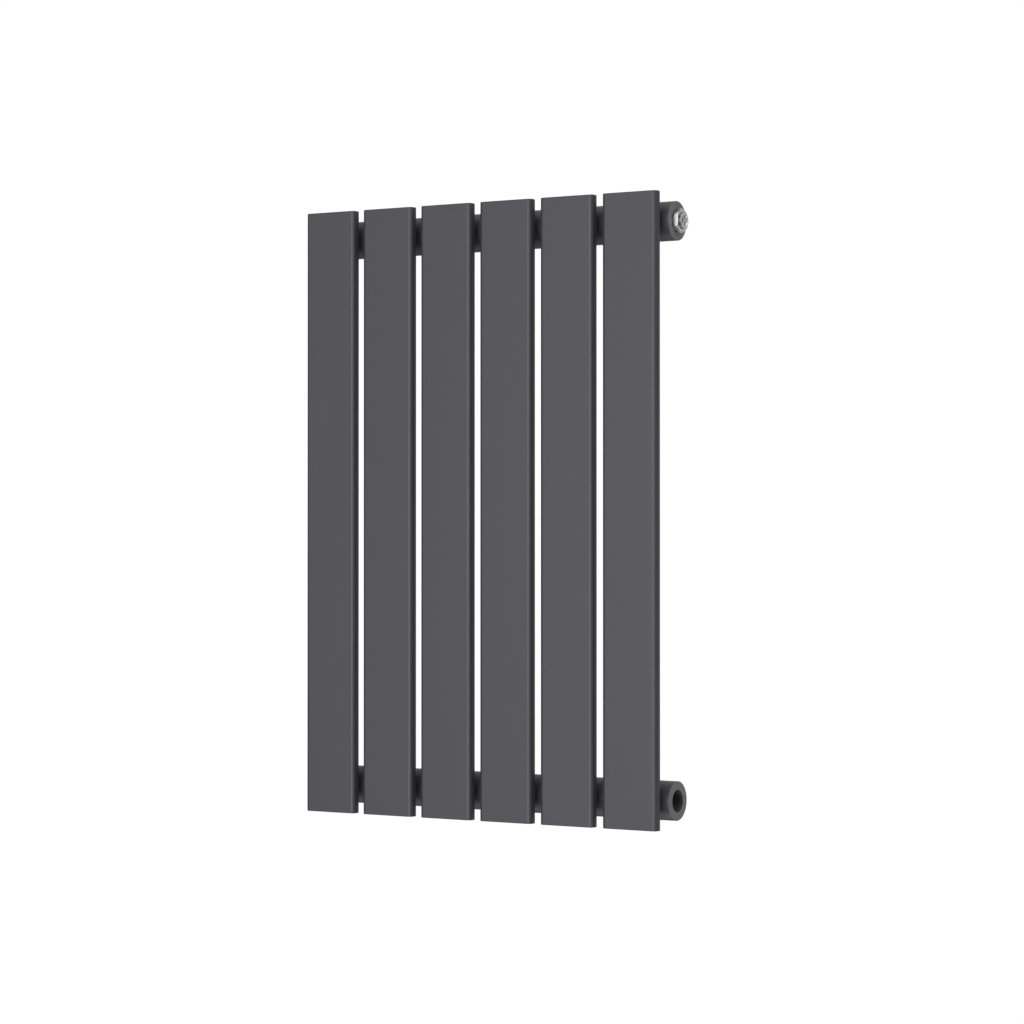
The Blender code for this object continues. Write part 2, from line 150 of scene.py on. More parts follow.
SCREW_TIP_RADIUS = 1.2 * MM
KEY_ACROSS_FLATS = 5 * MM
KEY_FOOT = 5.15 * MM
KEY_END = 7.5 * MM
KEY_SLOT_WIDTH = 1 * MM
KEY_SLOT_DEPTH = 0.9 * MM
KEY_EDGE = 0.22 * MM
PLUG_HOLLOW_RADIUS = 6.5 * MM
PLUG_DISH_RADIUS = 6 * MM
PLUG_DISH_DEPTH = 0.6 * MM

# Seals: ring radius, half width, half height and the height of the ring's middle
FITTING_SEAL = (9.05 * MM, 0.55 * MM, 0.5 * MM, -0.65 * MM)
SCREW_SEAL = (2.65 * MM, 0.45 * MM, 0.45 * MM, 3.25 * MM)

# View and light
CAMERA_TARGET = Vector((0.042, -0.0642, -0.0008))
CAMERA_AZIMUTH = math.radians(30.96)  # from the front towards +X
CAMERA_ELEVATION = math.radians(-0.423)
CAMERA_DISTANCE = 2.787
CAMERA_LENS = 101.8
FLOOR_Z = -1.0
FLOOR_RADIUS = 2.4
BACKDROP_LIGHT = 1.02
SOFTNESS = 12  # the larger, the narrower each soft light
SOFT_LIGHTS = {  # azimuth from the front towards +X, elevation, brightness
    "front": (-8, 0, 4.6),
    "front_right": (38, 0, 0.7),
    "behind_left": (-150, 0, 0.6),
    "left": (-112, 0, 0.7),
    "behind_right": (160, 0, 0.6),
    "high_right": (90, 42, 2.4),
    "low_right": (90, -42, 1.2),
    "high_behind": (-160, 42, 0.6),
    "overhead": (0, 90, 2.2),
    "underneath": (0, -90, 3.2),
}


# ---------------------------------------------------------------- mesh building

class Skin:
    """The vertices and faces of a piece, and for each vertex whether it lies on an edge."""

    def __init__(self):
        self.points, self.faces, self.edge = [], [], []

    def ring(self, points, edge=0.0):
        first = len(self.points)
        self.points += [tuple(p) for p in points]
        self.edge += [edge] * len(points)
        return list(range(first, len(self.points)))

    def join(self, a, b, closed=True):
        if len(a) == 1:
            a = a * len(b)
        if len(b) == 1:
            b = b * len(a)
        for i in range(len(a) if closed else len(a) - 1):
            j = (i + 1) % len(a)
            corners = dict.fromkeys((a[i], a[j], b[j], b[i]))
            if len(corners) > 2:
                self.faces.append(tuple(corners))

    def loft(self, rings, edges, loop=False):
        """Skins rings of equal length. Without loop, both ends are closed."""
        made = [self.ring(points, edge) for points, edge in zip(rings, edges)]
        for a, b in zip(made, made[1:]):
            self.join(a, b)
        if loop:
            self.join(made[-1], made[0])
        else:
            self.faces += [tuple(end) for end in (made[0], made[-1]) if len(end) > 2]

    def mesh(self, name, sharp=50):
        mesh = bpy.data.meshes.new(name)
        mesh.from_pydata(self.points, [], self.faces)
        mesh.attributes.new("edge", "FLOAT", "POINT").data.foreach_set("value", self.edge)
        bm = bmesh.new()
        bm.from_mesh(mesh)
        bmesh.ops.recalc_face_normals(bm, faces=bm.faces)
        bm.to_mesh(mesh)
        bm.free()
        mesh.shade_smooth()
        mesh.set_sharp_from_angle(angle=math.radians(sharp))
        return mesh


def softened(profile, radius, steps=4, loop=True):
    """A profile with its corners rounded, as (height, radius, edge).

    A corner's third value is its own rounding.
    """
    result = []
    count = len(profile)
    for i, corner in enumerate(profile):
        here = Vector(corner[:2])
        if not loop and i in (0, count - 1):
            result.append((*here, 0.0))
            continue
        wanted = corner[2] if len(corner) > 2 else radius
        back = Vector(profile[i - 1][:2]) - here
        ahead = Vector(profile[(i + 1) % count][:2]) - here
        half = back.angle(ahead) / 2
        if wanted == 0 or half > math.radians(87):
            result.append((*here, 0.0))
            continue
        reach = min(wanted / math.tan(half), 0.45 * back.length, 0.45 * ahead.length)
        rounding = reach * math.tan(half)
        u, v = back.normalized(), ahead.normalized()
        centre = here + (u + v).normalized() * rounding / math.sin(half)
        start, end = here + u * reach - centre, here + v * reach - centre
        swing = start.angle(end)
        for k in range(steps + 1):
            share = k / steps
            arm = start * math.sin((1 - share) * swing) + end * math.sin(share * swing)
            arm = arm / math.sin(swing)
            result.append((*(centre + arm), math.sin(math.pi * share)))
    return result


def lathe(skin, profile, steps, reshape=None, loop=True):
    """Turns a profile of (height, radius, edge) about local Z.

    reshape gives the radius where the piece isn't round.
    """
    rings = []
    for height, radius, _ in profile:
        if radius < TINY:
            rings.append([(0, 0, height)])
            continue
        ring = []
        for k in range(steps):
            turn = TURN * k / steps
            r = reshape(turn, height, radius) if reshape else radius
            ring.append((r * math.cos(turn), r * math.sin(turn), height))
        rings.append(ring)
    skin.loft(rings, [edge for _, _, edge in profile], loop)


def rounded_rectangle(width, depth, radius, steps):
    """The outline of a rounded rectangle about the origin, anticlockwise."""
    outline = []
    for quarter, (sx, sy) in enumerate(((1, 1), (-1, 1), (-1, -1), (1, -1))):
        centre_x, centre_y = sx * (width / 2 - radius), sy * (depth / 2 - radius)
        for k in range(steps + 1):
            turn = (quarter + k / steps) * TURN / 4
            outline.append((centre_x + radius * math.cos(turn), centre_y + radius * math.sin(turn)))
    return outline


def ripple(distance, seed):
    """How full a hand-laid weld bead is at a distance along it, about 1."""
    beat = (distance / BEAD_RIPPLE + 0.18 * math.sin(distance / BEAD_RIPPLE * 0.61 + seed)) % 1
    crest = 1 - (2 * abs(beat - 0.38)) ** 2
    drift = math.sin(distance * 173 + seed) + 0.6 * math.sin(distance * 411 + 2 * seed)
    return 0.9 + 0.13 * crest + 0.035 * drift


def bead(skin, path, radius, seed, closed):
    """A weld bead along a path of (point, first side, second side)."""
    travelled = 0.0
    rings = []
    for i, (point, side, other) in enumerate(path):
        if i:
            travelled += (point - path[i - 1][0]).length
        fullness = ripple(travelled, seed)
        if not closed:
            from_end = min(i, len(path) - 1 - i) / (0.06 * len(path))
            fullness *= math.sqrt(max(0.02, 1 - max(0.0, 1 - from_end) ** 2))
        rings.append([
            point + (side * math.cos(a) + other * math.sin(a)) * radius * fullness
            for a in (TURN * k / BEAD_SIDES for k in range(BEAD_SIDES))
        ])
    skin.loft(rings, [0.0] * len(rings), loop=closed)


# ---------------------------------------------------------------- pieces

def add_piece(name, mesh, material, body, nodes, place=Matrix.Identity(4), bevel=0.0):
    """A finished piece in the row frame, standing for its CAD nodes."""
    obj = bpy.data.objects.new(name, mesh)
    bpy.context.scene.collection.objects.link(obj)
    obj.matrix_world = place
    if not mesh.materials:
        mesh.materials.append(material)
    if bevel:
        rounding = obj.modifiers.new("rounded_edges", "BEVEL")
        rounding.width = bevel
        rounding.segments = 3
        rounding.limit_method = "ANGLE"
        rounding.angle_limit = math.radians(40)
    normals = obj.modifiers.new("even_normals", "WEIGHTED_NORMAL")
    normals.keep_sharp = True
    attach(obj, body)
    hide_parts(*nodes)
    return obj


def slat_tube_mesh(width, depth, height):
    outline = rounded_rectangle(width, depth, SLAT_CORNER, CORNER_STEPS)
    dip_x, dip_y = 1 - 2 * SEAM_DIP / width, 1 - 2 * SEAM_DIP / depth
    half = height / 2
    levels = [(-half, 1)] + [
        (-half + SEAM_HALF_WIDTH + share * (height - 2 * SEAM_HALF_WIDTH), 0)
        for share in (k / 40 for k in range(41))
    ] + [(half, 1)]
    rings = [
        [(x * (dip_x if dips else 1), y * (dip_y if dips else 1), z) for x, y in outline]
        for z, dips in levels
    ]
    skin = Skin()
    skin.loft(rings, [0.0] * len(rings))
    edges = [
        1.0 if abs(x) > width / 2 - SLAT_CORNER and abs(y) > depth / 2 - SLAT_CORNER else 0.0
        for x, y in outline
    ]
    skin.edge = edges * len(rings)
    return skin.mesh("slat_tube")


def slat_cap_mesh(width, depth, thickness):
    """A cap whose inner face is at Z = 0. Its outer edge is rounded."""
    insets = [(0, SEAM_DIP, 0.0), (SEAM_HALF_WIDTH, 0, 0.0)]
    steps = 6
    for k in range(steps + 1):
        turn = TURN / 4 * k / steps
        insets.append((thickness - CAP_EDGE * (1 - math.sin(turn)), CAP_EDGE * (1 - math.cos(turn)),
                       math.sin(2 * turn)))
    rings = []
    for z, inset, _ in insets:
        outline = rounded_rectangle(width - 2 * inset, depth - 2 * inset, SLAT_CORNER - inset,
                                    CORNER_STEPS)
        rings.append([(x, y, z) for x, y in outline])
    skin = Skin()
    skin.loft(rings, [edge for _, _, edge in insets])
    return skin.mesh("slat_cap")


def header_mesh(radius, length):
    half = length / 2
    inner = radius - HEADER_WALL
    profile = softened([(-half, radius), (half, radius), (half, inner), (-half, inner)], 0.2 * MM, 2)
    skin = Skin()
    lathe(skin, profile, HEADER_STEPS)
    return skin.mesh("header_tube")


def nipple_mesh(header_radius, slat_distance):
    """A collar from the slat's back to the header, welded at both ends.

    Local Y = 0 is the header's axis.
    """
    skin = Skin()

    def on_header(radius, turn, sink):
        x, z = radius * math.cos(turn), radius * math.sin(turn)
        return Vector((x, -math.sqrt(header_radius ** 2 - z ** 2) + sink, z))

    turns = [TURN * k / NIPPLE_STEPS for k in range(NIPPLE_STEPS)]
    foot = [on_header(NIPPLE_RADIUS, t, NIPPLE_SINK) for t in turns]
    head = [Vector((p.x, -slat_distance, p.z)) for p in foot]
    middle = [(a + b) / 2 for a, b in zip(foot, head)]
    skin.loft([foot, middle, head], [0.0] * 3)
    lower, upper = [], []
    to_slat = Vector((0, -1, 0))
    for turn in turns:
        outwards = Vector((math.cos(turn), 0, math.sin(turn)))
        on_foot = on_header(NIPPLE_RADIUS + BEAD_OFFSET, turn, -BEAD_LIFT)
        on_slat = outwards * (NIPPLE_RADIUS + BEAD_LIFT) - Vector((0, slat_distance - BEAD_OFFSET, 0))
        lower.append((on_foot, outwards, to_slat))
        upper.append((on_slat, outwards, to_slat))
    bead(skin, lower, BEAD_RADIUS, 0.4, closed=True)
    bead(skin, upper, 0.85 * BEAD_RADIUS, 2.1, closed=True)
    return skin.mesh("nipple")


def boss_mesh(radius, length, threaded):
    """A socket whose face is at local Z = 0 and whose spigot sits in the header."""
    seat = BOSS_SPIGOT_LENGTH - length
    thread_start = -THREAD_DEPTH - THREAD_RUNOUT
    cone_foot, *outside = softened([
        (-SOCKET_MOUTH_DEPTH, SOCKET_RADIUS),
        (0, SOCKET_MOUTH_RADIUS, 0.15 * MM),
        (0, radius, BOSS_RIM),
        (seat, radius, FINE_EDGE),
        (seat, BOSS_SPIGOT_RADIUS, FINE_EDGE),
        (-length, BOSS_SPIGOT_RADIUS, SOFT_EDGE),
        (-length, SOCKET_RADIUS, SOFT_EDGE),
        (-length + 1 * MM, SOCKET_RADIUS),
    ], 0.0, 5, loop=False)
    bore = [cone_foot]
    if threaded:
        steps = round(-thread_start / THREAD_STEP)
        bore = [(thread_start + k * THREAD_STEP, SOCKET_RADIUS, 0.0) for k in range(steps)]

    def threads(turn, height, r):
        if r > SOCKET_RADIUS + TINY or height < thread_start + 10 * TINY:
            return r
        phase = TURN * height / THREAD_PITCH + turn
        runout = min(1.0, (height - thread_start) / THREAD_RUNOUT)
        cut = (THREAD_MAJOR_RADIUS - SOCKET_RADIUS) * (0.5 - 0.5 * math.cos(phase)) * runout
        cone = (SOCKET_MOUTH_RADIUS - SOCKET_RADIUS) * max(0.0, 1 + height / SOCKET_MOUTH_DEPTH)
        return SOCKET_RADIUS + max(cut, cone)

    skin = Skin()
    lathe(skin, outside + bore, 96, threads if threaded else None)

    def rippled(turn, height, r):
        return r + BOSS_WELD_RIPPLE * (ripple(turn * radius, 1.3) - 1) if r > radius else r

    seam = seat - BOSS_WELD_DROP
    weld = [(seam + across * MM, radius + above * MM, 0.0) for across, above in BOSS_WELD]
    lathe(skin, weld, 240, rippled)
    mesh = skin.mesh("boss")
    for face in mesh.polygons:
        reach = math.hypot(face.center.x, face.center.y)
        # Faces inside the mouth take the bore's dark material, whose darkness is painted shade.
        if reach < SOCKET_MOUTH_RADIUS - 0.05 * MM:
            face.material_index = 2
        elif face.center.z > -0.1 * MM:
            face.material_index = 1
    return mesh


def lug_mesh(header_radius, header_distance):
    """A strap bent into a U and welded to the header.

    Local Y = 0 is its wall side and Z = 0 the header's level.
    """
    half_width, half_height = LUG_WIDTH / 2, LUG_HEIGHT / 2
    flat_half = half_width - LUG_BEND
    slot_round_z = SLOT_TOP - SLOT_RADIUS
    bend_steps, leg_steps, flank_steps, arch_steps = 6, 4, 3, 12
    low_rows, high_rows = 6, 8

    def leg_end(z):
        return -header_distance + math.sqrt(header_radius ** 2 - z ** 2) - LUG_OVERLAP

    flank = flat_half - SLOT_RADIUS
    columns = [  # from the left leg's end to the slot, then mirrored
        *[("leg", k / leg_steps) for k in range(leg_steps, 0, -1)],
        *[("bend", k / bend_steps) for k in range(bend_steps, 0, -1)],
        *[("flat", flat_half - flank * k / flank_steps) for k in range(flank_steps)],
    ]
    arch = [("flat", SLOT_RADIUS * math.cos(math.pi * k / arch_steps)) for k in range(arch_steps + 1)]
    left = [(kind, value, -1) for kind, value in columns]
    right = [(kind, value, 1) for kind, value in reversed(columns)]
    middle = [(kind, -value, 1) for kind, value in arch]
    whole = left + middle + right
    first_arch, last_arch = len(left), len(left) + arch_steps

    def height_of(index, row):
        if row < low_rows:
            return -half_height + (slot_round_z + half_height) * row / low_rows
        foot = slot_round_z
        if first_arch < index < last_arch:
            across = whole[index][1]
            foot += math.sqrt(max(0.0, SLOT_RADIUS ** 2 - across ** 2))
        return foot + (half_height - foot) * (row - low_rows) / high_rows

    def place(index, row, depth):
        """depth 0 is the outer surface and LUG_THICKNESS the inner one."""
        kind, value, sign = whole[index]
        z = height_of(index, row)
        if kind == "flat":
            return (sign * value, -depth, z)
        if kind == "bend":
            turn = value * TURN / 4
            reach = LUG_BEND - depth
            return (sign * (flat_half + reach * math.sin(turn)), -LUG_BEND + reach * math.cos(turn), z)
        y = -LUG_BEND + (leg_end(z) + LUG_BEND) * value
        return (sign * (half_width - depth), y, z)

    skin = Skin()
    grid = {}
    rows = low_rows + high_rows + 1
    for index in range(len(whole)):
        for row in range(rows):
            if row < low_rows and first_arch < index < last_arch:
                continue
            for layer, depth in enumerate((0, LUG_THICKNESS)):
                grid[index, row, layer] = skin.ring([place(index, row, depth)])[0]
    cells = [
        (i, j) for i in range(len(whole) - 1) for j in range(rows - 1)
        if all((a, b, 0) in grid for a in (i, i + 1) for b in (j, j + 1))
    ]
    sides = {}
    for i, j in cells:
        corners = near, right_low, far, left_high = (i, j), (i + 1, j), (i + 1, j + 1), (i, j + 1)
        for layer in (0, 1):
            skin.faces.append(tuple(grid[a, b, layer] for a, b in corners))
        for side in (near, right_low), (right_low, far), (left_high, far), (near, left_high):
            sides[side] = sides.get(side, 0) + 1
    for (a, b), uses in sides.items():
        if uses == 1:
            skin.faces.append((grid[(*a, 0)], grid[(*b, 0)], grid[(*b, 1)], grid[(*a, 1)]))
    return skin.mesh("hanging_lug", sharp=35)


def lug_weld_mesh(header_radius, header_distance):
    """The two beads that hold a lug's legs to the header, in the lug's own frame."""
    skin = Skin()
    steps = 110
    reach = LUG_HEIGHT / 2 - 0.6 * MM
    for seed, sign in ((0.7, -1), (3.9, 1)):
        path = []
        for k in range(steps + 1):
            z = reach * (2 * k / steps - 1)
            y = -header_distance + math.sqrt(header_radius ** 2 - z ** 2) + LUG_BEAD_OFFSET
            point = Vector((sign * (LUG_WIDTH / 2 + LUG_BEAD_OFFSET), y, z))
            lift = Vector((0, math.cos(z / header_radius), math.sin(z / header_radius)))
            path.append((point, Vector((1, 0, 0)), lift))
        bead(skin, path, 1.15 * BEAD_RADIUS, seed, closed=False)
    return skin.mesh("hanging_lug_weld")


def hexagon(turn, height, radius):
    """The radius of the chamfered hexagon, its corners on local X."""
    on_side = HEX_BACK - TINY < height < HEX_FRONT + TINY and radius > HEX_FACE_RADIUS - TINY
    if not on_side:
        return radius
    flat = HEX_ACROSS_FLATS / 2
    off_flat = turn % (TURN / 6) - TURN / 12
    corner = HEX_CORNER_SHARE * flat / math.cos(TURN / 12)
    front_cone = HEX_FACE_RADIUS + HEX_CHAMFER_SLOPE * (HEX_FRONT - height) - HEX_FRONT_CHAMFER_INSET
    back_cone = HEX_FACE_RADIUS + HEX_BACK_CHAMFER_OUTSET + HEX_CHAMFER_SLOPE * (height - HEX_BACK)
    into = max(0.0, height - (HEX_FRONT - HEX_FACE_ROUND)) / HEX_FACE_ROUND
    rounded = HEX_FACE_ROUND * (1 - math.sqrt(max(0.0, 1 - into ** 2)))
    return min(flat / math.cos(off_flat), corner, front_cone, back_cone) - rounded


def hexagon_side():
    """Heights up the hexagon's side, closer together at its chamfers, as a profile."""
    heights = [HEX_BACK + 0.1 * MM * k for k in range(4)]
    heights += [HEX_BACK + 0.3 * MM + 0.4 * MM * k for k in range(1, 7)]
    heights += [HEX_FRONT - 1.2 * MM + 0.1 * MM * k for k in range(10)]
    heights += [HEX_FRONT - HEX_FACE_ROUND + 0.05 * MM * k for k in range(6)]
    return [(h, HEX_FACE_RADIUS, 0.0) for h in sorted({round(h, 7) for h in heights})]


def shoulder_and_groove():
    """The corners from the shank past the seal's groove to the shoulder under the hexagon."""
    return [
        (SEAL_GROOVE_BOTTOM, SHANK_RADIUS, FINE_EDGE),
        (SEAL_GROOVE_BOTTOM, SEAL_GROOVE_RADIUS, FINE_EDGE),
        (SHOULDER_BACK, SEAL_GROOVE_RADIUS, FINE_EDGE),
        (SHOULDER_BACK, SHOULDER_RADIUS, SOFT_EDGE),
        (HEX_BACK, SHOULDER_RADIUS, FINE_EDGE),
    ]


def vent_body_mesh():
    """Shank, hexagon and nose with the key's well, bored through for the bleed screw."""
    inner = softened([
        (HEX_FRONT, HEX_FACE_RADIUS - HEX_FACE_MARGIN),
        (HEX_FRONT, NOSE_RADIUS, 0.15 * MM),
        (NOSE_END, NOSE_RADIUS, 0.2 * MM),
        (NOSE_END, KEY_WELL_RADIUS, 0.2 * MM),
        (KEY_WELL_FLOOR, KEY_WELL_RADIUS, 0.15 * MM),
        (KEY_WELL_FLOOR, SCREW_BORE_RADIUS, FINE_EDGE),
        (SHANK_END, SCREW_BORE_RADIUS, 0.2 * MM),
        (SHANK_END, SHANK_RADIUS, 0.6 * MM),
        *shoulder_and_groove(),
        (HEX_BACK, HEX_FACE_RADIUS - 0.1 * MM),
    ], 0.0, 4, loop=False)
    skin = Skin()
    lathe(skin, inner + hexagon_side(), HEX_STEPS, hexagon)
    return skin.mesh("vent_body", sharp=40)


def outlet_disc_mesh():
    """The swivelling ring: a notched rim, a turned groove in its face and the outlet hole at local +X."""
    step = 0.1 * MM
    rim_heights = [DISC_BACK + 0.15 * MM + step * k for k in range(13)]
    profile = softened([
        (DISC_BACK, DISC_BORE_RADIUS, FINE_EDGE),
        (DISC_FRONT - DISC_BORE_DROP, DISC_BORE_RADIUS, FINE_EDGE),
        (DISC_FRONT - 0.02 * MM, DISC_BORE_RADIUS + 0.4 * MM, FINE_EDGE),
        (DISC_FRONT, DISC_CROWN_RADIUS, 0.4 * MM),
        (DISC_FRONT - DISC_SHOULDER_DROP, DISC_SHOULDER_RADIUS, SOFT_EDGE),
        (DISC_FRONT - DISC_RIM_DROP, DISC_RADIUS, 0.25 * MM),
        *[(h, DISC_RADIUS, 0.0) for h in reversed(rim_heights)],
        (DISC_BACK, DISC_RADIUS, 0.12 * MM),
    ], 0.0, 4)

    def rim(turn, height, radius):
        r = radius
        if radius > DISC_NOTCH_REACH:
            nearest = (turn % (TURN / DISC_NOTCHES)) - TURN / DISC_NOTCHES / 2
            centre = DISC_RADIUS + DISC_NOTCH_RADIUS / 2
            inside = DISC_NOTCH_RADIUS ** 2 - (centre * math.sin(nearest)) ** 2
            if inside > 0:
                cut = centre * math.cos(nearest) - math.sqrt(inside)
                r = min(r, max(cut, DISC_NOTCH_FLOOR) - 0.6 * (DISC_RADIUS - radius))
        if radius > DISC_RADIUS - 0.01 * MM:
            around = (turn + TURN / 2) % TURN - TURN / 2
            away = math.hypot(around * DISC_RADIUS, height - OUTLET_HEIGHT)
            if away < OUTLET_RADIUS:
                r -= OUTLET_DEPTH * min(1.0, (OUTLET_RADIUS - away) / OUTLET_EDGE)
        return r

    skin = Skin()
    lathe(skin, profile, DISC_STEPS, rim)
    mesh = skin.mesh("vent_outlet_disc", sharp=40)
    # Faces of the rim and of the plate behind the crown take the dark second material: painted shade and a
    # painted dark reflection.
    for face in mesh.polygons:
        outside = math.hypot(face.center.x, face.center.y) > DISC_SHADED_RIM_RADIUS
        if outside and face.center.z < DISC_FRONT - DISC_BORE_DROP:
            face.material_index = 1
    return mesh


def bleed_screw_mesh():
    """The turned screw, with its seal's groove and cone tip."""
    profile = softened([
        (KEY_FOOT - 0.15 * MM, 0),
        (KEY_FOOT - 0.15 * MM, SCREW_RADIUS, 0.2 * MM),
        (SCREW_GROOVE_FRONT, SCREW_RADIUS, FINE_EDGE),
        (SCREW_GROOVE_FRONT, SCREW_GROOVE_RADIUS, FINE_EDGE),
        (SCREW_GROOVE_BACK, SCREW_GROOVE_RADIUS, FINE_EDGE),
        (SCREW_GROOVE_BACK, SCREW_RADIUS, FINE_EDGE),
        (SCREW_CONE_FOOT, SCREW_RADIUS, FINE_EDGE),
        (SCREW_TIP, SCREW_TIP_RADIUS, FINE_EDGE),
        (SCREW_TIP, 0),
    ], 0.0, 3, loop=False)
    skin = Skin()
    lathe(skin, profile, 48, loop=False)
    half, slot = KEY_ACROSS_FLATS / 2, KEY_SLOT_WIDTH / 2
    floor, foot = KEY_END - KEY_SLOT_DEPTH, KEY_FOOT - 0.4 * MM
    outline = [(-half, foot), (half, foot), (half, KEY_END), (slot, KEY_END),
               (slot, floor), (-slot, floor), (-slot, KEY_END), (-half, KEY_END)]
    skin.loft([[(x, y, z) for y, z in outline] for x in (-half, half)], [0.0, 0.0])
    return skin.mesh("bleed_screw", sharp=35)


def blanking_plug_mesh():
    """Hollow shank and hexagon with a shallow dish turned into its face."""
    floor = HEX_FRONT - PLUG_DISH_DEPTH
    inner = softened([
        (HEX_FRONT, HEX_FACE_RADIUS - HEX_FACE_MARGIN),
        (HEX_FRONT, PLUG_DISH_RADIUS, SOFT_EDGE),
        (floor, PLUG_DISH_RADIUS - PLUG_DISH_DEPTH, 0.4 * MM),
        (floor, 0),
    ], 0.0, 5, loop=False)
    outer = softened([
        (0, 0),
        (0, PLUG_HOLLOW_RADIUS, 0.4 * MM),
        (SHANK_END, PLUG_HOLLOW_RADIUS, SOFT_EDGE),
        (SHANK_END, SHANK_RADIUS, 0.6 * MM),
        *shoulder_and_groove(),
        (HEX_BACK, HEX_FACE_RADIUS - 0.1 * MM),
    ], 0.0, 4, loop=False)
    skin = Skin()
    lathe(skin, outer + hexagon_side() + inner, HEX_STEPS, hexagon, loop=False)
    return skin.mesh("blanking_plug", sharp=40)


def seal_mesh(name, ring_radius, half_width, half_height, height):
    """A rubber ring pressed a little flat between two faces."""
    profile = [
        (height + half_height * math.sin(a), ring_radius + half_width * math.cos(a), 0.0)
        for a in (TURN * k / 20 for k in range(20))
    ]
    skin = Skin()
    lathe(skin, profile, 96)
    return skin.mesh(name)


# ---------------------------------------------------------------- materials

class Nodes:
    """A short way to write a material's nodes."""

    def __init__(self, name):
        self.material = bpy.data.materials.new(name)
        self.material.use_nodes = True
        self.tree = self.material.node_tree
        self.shader = self.tree.nodes["Principled BSDF"]

    def add(self, kind, inputs=None, **settings):
        node = self.tree.nodes.new(kind)
        for key, value in settings.items():
            setattr(node, key, value)
        for key, value in (inputs or {}).items():
            self.set(node.inputs[key], value)
        return node

    def set(self, socket, value):
        if isinstance(value, bpy.types.NodeSocket):
            self.tree.links.new(value, socket)
        else:
            socket.default_value = value

    def place(self):
        """Object coordinates, shifted by a different amount for each object."""
        where = self.add("ShaderNodeTexCoord").outputs["Object"]
        random = self.add("ShaderNodeObjectInfo").outputs["Random"]
        shift = self.math("MULTIPLY", random, 7.0)
        return self.add("ShaderNodeVectorMath", {0: where, 1: shift}, operation="ADD").outputs[0]

    def noise(self, vector, scale, detail=2.0, roughness=0.5):
        return self.add("ShaderNodeTexNoise", {"Vector": vector, "Scale": scale, "Detail": detail,
                                               "Roughness": roughness}).outputs["Fac"]

    def spread(self, value, low, high, to_low, to_high):
        return self.add("ShaderNodeMapRange", {"Value": value, "From Min": low, "From Max": high,
                                               "To Min": to_low, "To Max": to_high}).outputs[0]

    def math(self, operation, a, b):
        return self.add("ShaderNodeMath", {0: a, 1: b}, operation=operation).outputs[0]

    def mix(self, factor, a, b):
        node = self.add("ShaderNodeMix", data_type="RGBA")
        self.set(node.inputs[0], factor)
        self.set(node.inputs[6], a)
        self.set(node.inputs[7], b)
        return node.outputs[2]

    def bump(self, height, distance, normal=None):
        inputs = {"Height": height, "Distance": distance, "Strength": 1.0}
        if normal:
            inputs["Normal"] = normal
        return self.add("ShaderNodeBump", inputs).outputs[0]

    def finish(self, **sockets):
        for key, value in sockets.items():
            self.set(self.shader.inputs[key.replace("_", " ")], value)
        return self.material


def powder_coat(name, light, dark, peel=1.0):
    """Satin powder coat: fine orange peel, faint clouding, and a thinner, glossier film on edges."""
    n = Nodes(name)
    where = n.place()
    clouds = n.noise(where, 16, 4, 0.55)
    grain = n.noise(where, 1900, 2, 0.6)
    swell = n.noise(where, 130, 2, 0.5)
    skin = n.noise(where, 520, 3, 0.5)
    on_edge = n.add("ShaderNodeAttribute", attribute_name="edge").outputs["Fac"]
    tone = n.math("ADD", n.spread(clouds, 0.3, 0.7, 0.0, 0.7), n.spread(grain, 0.3, 0.7, -0.12, 0.42))
    colour = n.mix(tone, dark, light)
    thin = n.math("MULTIPLY", on_edge, n.spread(n.noise(where, 240, 3, 0.6), 0.42, 0.7, 0.0, 0.3))
    colour = n.mix(thin, colour, tuple(min(1.0, 1.35 * c) for c in light[:3]) + (1.0,))
    gloss = n.math("ADD", n.spread(clouds, 0.3, 0.7, 0.37, 0.43), n.spread(skin, 0.3, 0.7, -0.015, 0.02))
    gloss = n.math("SUBTRACT", gloss, n.math("MULTIPLY", on_edge, 0.03))
    normal = n.bump(swell, 0.045 * MM * peel)
    normal = n.bump(skin, 0.018 * MM * peel, normal)
    normal = n.bump(grain, 0.0022 * MM, normal)
    return n.finish(Base_Color=colour, Roughness=gloss, Normal=normal)


def turned_metal(name, bright, dull, low_gloss, high_gloss, marks):
    """Plated metal that was turned on a lathe: faint rings about local Z, smudges and tiny pits."""
    n = Nodes(name)
    local = n.add("ShaderNodeTexCoord").outputs["Object"]
    where = n.place()
    parts = n.add("ShaderNodeSeparateXYZ", {0: local})
    flat = n.add("ShaderNodeCombineXYZ", {0: parts.outputs[0], 1: parts.outputs[1]}).outputs[0]
    radius = n.add("ShaderNodeVectorMath", {0: flat}, operation="LENGTH").outputs["Value"]
    across = n.math("ADD", radius, parts.outputs[2])
    wobble = n.spread(n.noise(where, 260, 2), 0.0, 1.0, -0.35, 0.35)
    waves = n.math("SINE", n.math("ADD", n.math("MULTIPLY", across, TURN / (0.28 * MM)), wobble), 0.0)
    smudges = n.noise(where, 210, 4, 0.6)
    pits = n.noise(where, 5200, 2, 0.5)
    colour = n.mix(n.spread(smudges, 0.35, 0.7, 0.0, 1.0), bright, dull)
    gloss = n.math("ADD", n.spread(smudges, 0.35, 0.7, low_gloss, high_gloss),
                   n.spread(pits, 0.35, 0.7, -0.01, 0.02))
    normal = n.bump(waves, marks)
    normal = n.bump(pits, 0.0006 * MM, normal)
    return n.finish(Base_Color=colour, Roughness=gloss, Normal=normal, Metallic=1.0)


